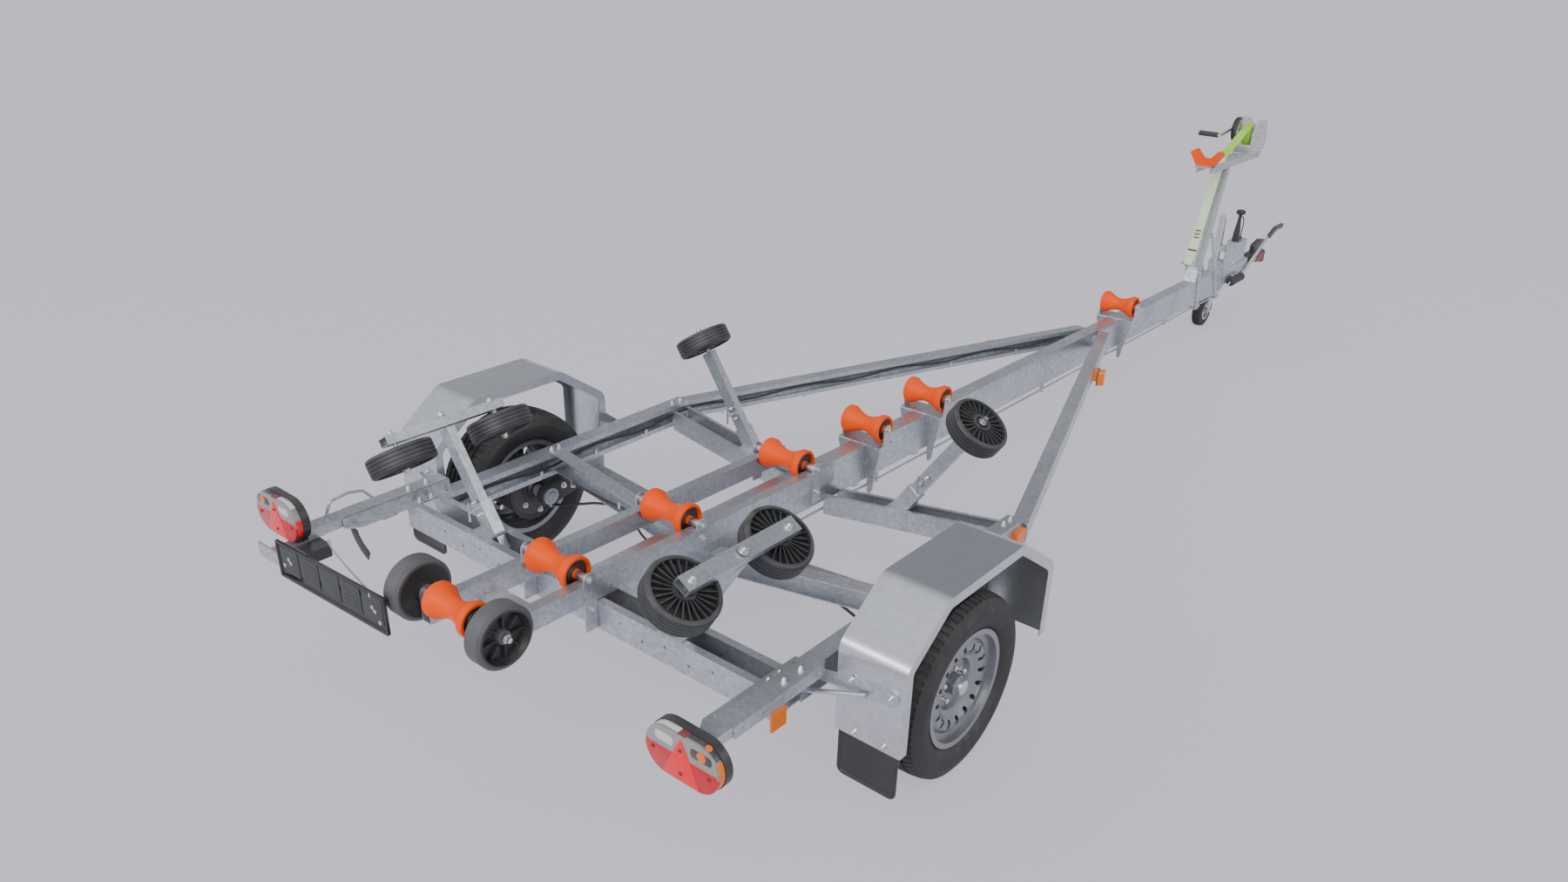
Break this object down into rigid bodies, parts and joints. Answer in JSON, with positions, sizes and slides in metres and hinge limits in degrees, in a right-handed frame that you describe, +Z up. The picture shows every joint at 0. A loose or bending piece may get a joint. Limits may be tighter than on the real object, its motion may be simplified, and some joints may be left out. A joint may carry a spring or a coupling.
{
  "type": "boat trailer",
  "caption": "Galvanised single-axle braked boat trailer with keel rollers, hull support wheels, bow post with strap winch, overrun coupling and jockey wheel.",
  "frame": {"origin": "centre of the bounding box in plan, on the ground under the tyres", "axes": "+Y forward, the travel direction; +Z up; +X to the right"},
  "size_m": [2.23, 6.8124, 1.348],
  "materials": {
    "galvanised": "satin",
    "dark_galvanised": "satin",
    "zinc": "satin",
    "sheet_zinc": "satin",
    "silver_rim": "satin",
    "tyre_rubber": "matte",
    "black_rubber": "satin",
    "grey_rubber": "matte",
    "orange_roller": "satin",
    "black_plastic": "satin",
    "black_metal": "satin",
    "red_lens": "gloss",
    "amber_lens": "gloss",
    "lime_webbing": "matte"
  },
  "bodies": {
    "frame": {"drawbar": "galvanised", "frame_rails": "galvanised", "crossmembers": "galvanised", "cradle_tubes": "galvanised", "roller_brackets": "galvanised", "roller_pins": "zinc", "bracket_plates": "galvanised", "support_posts": "galvanised", "post_sleeves": "galvanised", "axle": "dark_galvanised", "brake_backplates": "black_metal", "mudguards": "sheet_zinc", "mudflaps": "black_plastic", "light_arms": "galvanised", "lamp_bases": "black_plastic", "lamp_lenses": "red_lens", "side_markers": "amber_lens", "plate_holder": "black_plastic", "winch_post": "galvanised", "post_clamps": "galvanised", "winch_arm": "galvanised", "bow_snubber": "orange_roller", "winch_frame": "zinc", "winch_plastics": "black_plastic", "winch_strap": "lime_webbing", "overrun_housing": "dark_galvanised", "coupling_rubber": "black_rubber", "coupling_head": "black_metal", "brake_linkage": "zinc", "wiring_loom": "black_rubber", "plug": "black_plastic", "plug_cable": "black_rubber"},
    "wheel_left": {"rim_left": "silver_rim", "tyre_left": "tyre_rubber"},
    "wheel_right": {"rim_right": "silver_rim", "tyre_right": "tyre_rubber"},
    "roller_1": {"keel_roller_1": "orange_roller"},
    "roller_2": {"keel_roller_2": "orange_roller"},
    "roller_3": {"keel_roller_3": "orange_roller"},
    "roller_4": {"keel_roller_4": "orange_roller"},
    "roller_5": {"keel_roller_5": "orange_roller"},
    "roller_6": {"keel_roller_6": "orange_roller"},
    "rear_rollers": {"rear_roller": "orange_roller", "rear_side_wheels": "grey_rubber"},
    "rocker_left": {"rocker_beam_left": "galvanised"},
    "hull_wheel_left_1": {"hull_wheel_left_1": "black_rubber"},
    "hull_wheel_left_2": {"hull_wheel_left_2": "black_rubber"},
    "hull_wheel_left_3": {"hull_wheel_left_3": "black_rubber"},
    "rocker_right": {"rocker_beam_right": "galvanised"},
    "hull_wheel_right_1": {"hull_wheel_right_1": "black_rubber"},
    "hull_wheel_right_2": {"hull_wheel_right_2": "black_rubber"},
    "hull_wheel_right_3": {"hull_wheel_right_3": "black_rubber"},
    "handbrake": {"handbrake_lever": "zinc", "handbrake_grip": "black_plastic"},
    "jockey_leg": {"jockey_tube": "zinc"},
    "jockey_fork": {"jockey_fork": "zinc"},
    "jockey_wheel": {"jockey_tyre": "tyre_rubber", "jockey_rim": "zinc"}
  },
  "joints": [
    {"name": "wheel_left_spin", "type": "hinge", "parent": "frame", "child": "wheel_left", "pos_m": [-0.993, -2.29383, 0.298], "axis": [1, 0, 0], "continuous": true},
    {"name": "wheel_right_spin", "type": "hinge", "parent": "frame", "child": "wheel_right", "pos_m": [0.993, -2.29383, 0.298], "axis": [1, 0, 0], "continuous": true},
    {"name": "keel_roller_1_spin", "type": "hinge", "parent": "frame", "child": "roller_1", "pos_m": [0, 0.97217, 0.515], "axis": [1, 0, 0], "continuous": true},
    {"name": "keel_roller_2_spin", "type": "hinge", "parent": "frame", "child": "roller_2", "pos_m": [0, -0.90983, 0.539], "axis": [1, 0, 0], "continuous": true},
    {"name": "keel_roller_3_spin", "type": "hinge", "parent": "frame", "child": "roller_3", "pos_m": [0, -1.34683, 0.54], "axis": [1, 0, 0], "continuous": true},
    {"name": "keel_roller_4_spin", "type": "hinge", "parent": "frame", "child": "roller_4", "pos_m": [0, -1.84483, 0.558], "axis": [1, 0, 0], "continuous": true},
    {"name": "keel_roller_5_spin", "type": "hinge", "parent": "frame", "child": "roller_5", "pos_m": [0, -2.43883, 0.568], "axis": [1, 0, 0], "continuous": true},
    {"name": "keel_roller_6_spin", "type": "hinge", "parent": "frame", "child": "roller_6", "pos_m": [0, -2.91383, 0.576], "axis": [1, 0, 0], "continuous": true},
    {"name": "rear_roller_spin", "type": "hinge", "parent": "frame", "child": "rear_rollers", "pos_m": [0, -3.26783, 0.582], "axis": [1, 0, 0], "continuous": true},
    {"name": "rocker_left_tilt", "type": "hinge", "parent": "frame", "child": "rocker_left", "pos_m": [-0.642, -2.82083, 0.815], "axis": [-0.5446, 0, 0.8387], "range_deg": [-20, 20]},
    {"name": "hull_wheel_left_1_spin", "type": "hinge", "parent": "rocker_left", "child": "hull_wheel_left_1", "pos_m": [-0.60605, -3.00983, 0.75965], "axis": [-0.5446, 0, 0.8387], "continuous": true},
    {"name": "hull_wheel_left_2_spin", "type": "hinge", "parent": "rocker_left", "child": "hull_wheel_left_2", "pos_m": [-0.60605, -2.63183, 0.75965], "axis": [-0.5446, 0, 0.8387], "continuous": true},
    {"name": "hull_wheel_left_3_spin", "type": "hinge", "parent": "frame", "child": "hull_wheel_left_3", "pos_m": [-0.632, -1.60883, 0.79], "axis": [-0.5736, 0, 0.8192], "continuous": true},
    {"name": "rocker_right_tilt", "type": "hinge", "parent": "frame", "child": "rocker_right", "pos_m": [0.642, -2.82083, 0.815], "axis": [0.5446, 0, 0.8387], "range_deg": [-20, 20]},
    {"name": "hull_wheel_right_1_spin", "type": "hinge", "parent": "rocker_right", "child": "hull_wheel_right_1", "pos_m": [0.60605, -3.00983, 0.75965], "axis": [0.5446, 0, 0.8387], "continuous": true},
    {"name": "hull_wheel_right_2_spin", "type": "hinge", "parent": "rocker_right", "child": "hull_wheel_right_2", "pos_m": [0.60605, -2.63183, 0.75965], "axis": [0.5446, 0, 0.8387], "continuous": true},
    {"name": "hull_wheel_right_3_spin", "type": "hinge", "parent": "frame", "child": "hull_wheel_right_3", "pos_m": [0.632, -1.60883, 0.79], "axis": [0.5736, 0, 0.8192], "continuous": true},
    {"name": "handbrake_pull", "type": "hinge", "parent": "frame", "child": "handbrake", "pos_m": [0.054, 2.74617, 0.33], "axis": [1, 0, 0], "range_deg": [0, 60]},
    {"name": "jockey_slide", "type": "slide", "parent": "frame", "child": "jockey_leg", "axis": [0, 0, 1], "range_m": [-0.12, 0.09]},
    {"name": "jockey_swivel", "type": "hinge", "parent": "jockey_leg", "child": "jockey_fork", "pos_m": [-0.095, 2.63617, 0.24], "axis": [0, 0, 1], "continuous": true},
    {"name": "jockey_wheel_spin", "type": "hinge", "parent": "jockey_fork", "child": "jockey_wheel", "pos_m": [-0.095, 2.57617, 0.105], "axis": [1, 0, 0], "continuous": true}
  ]
}
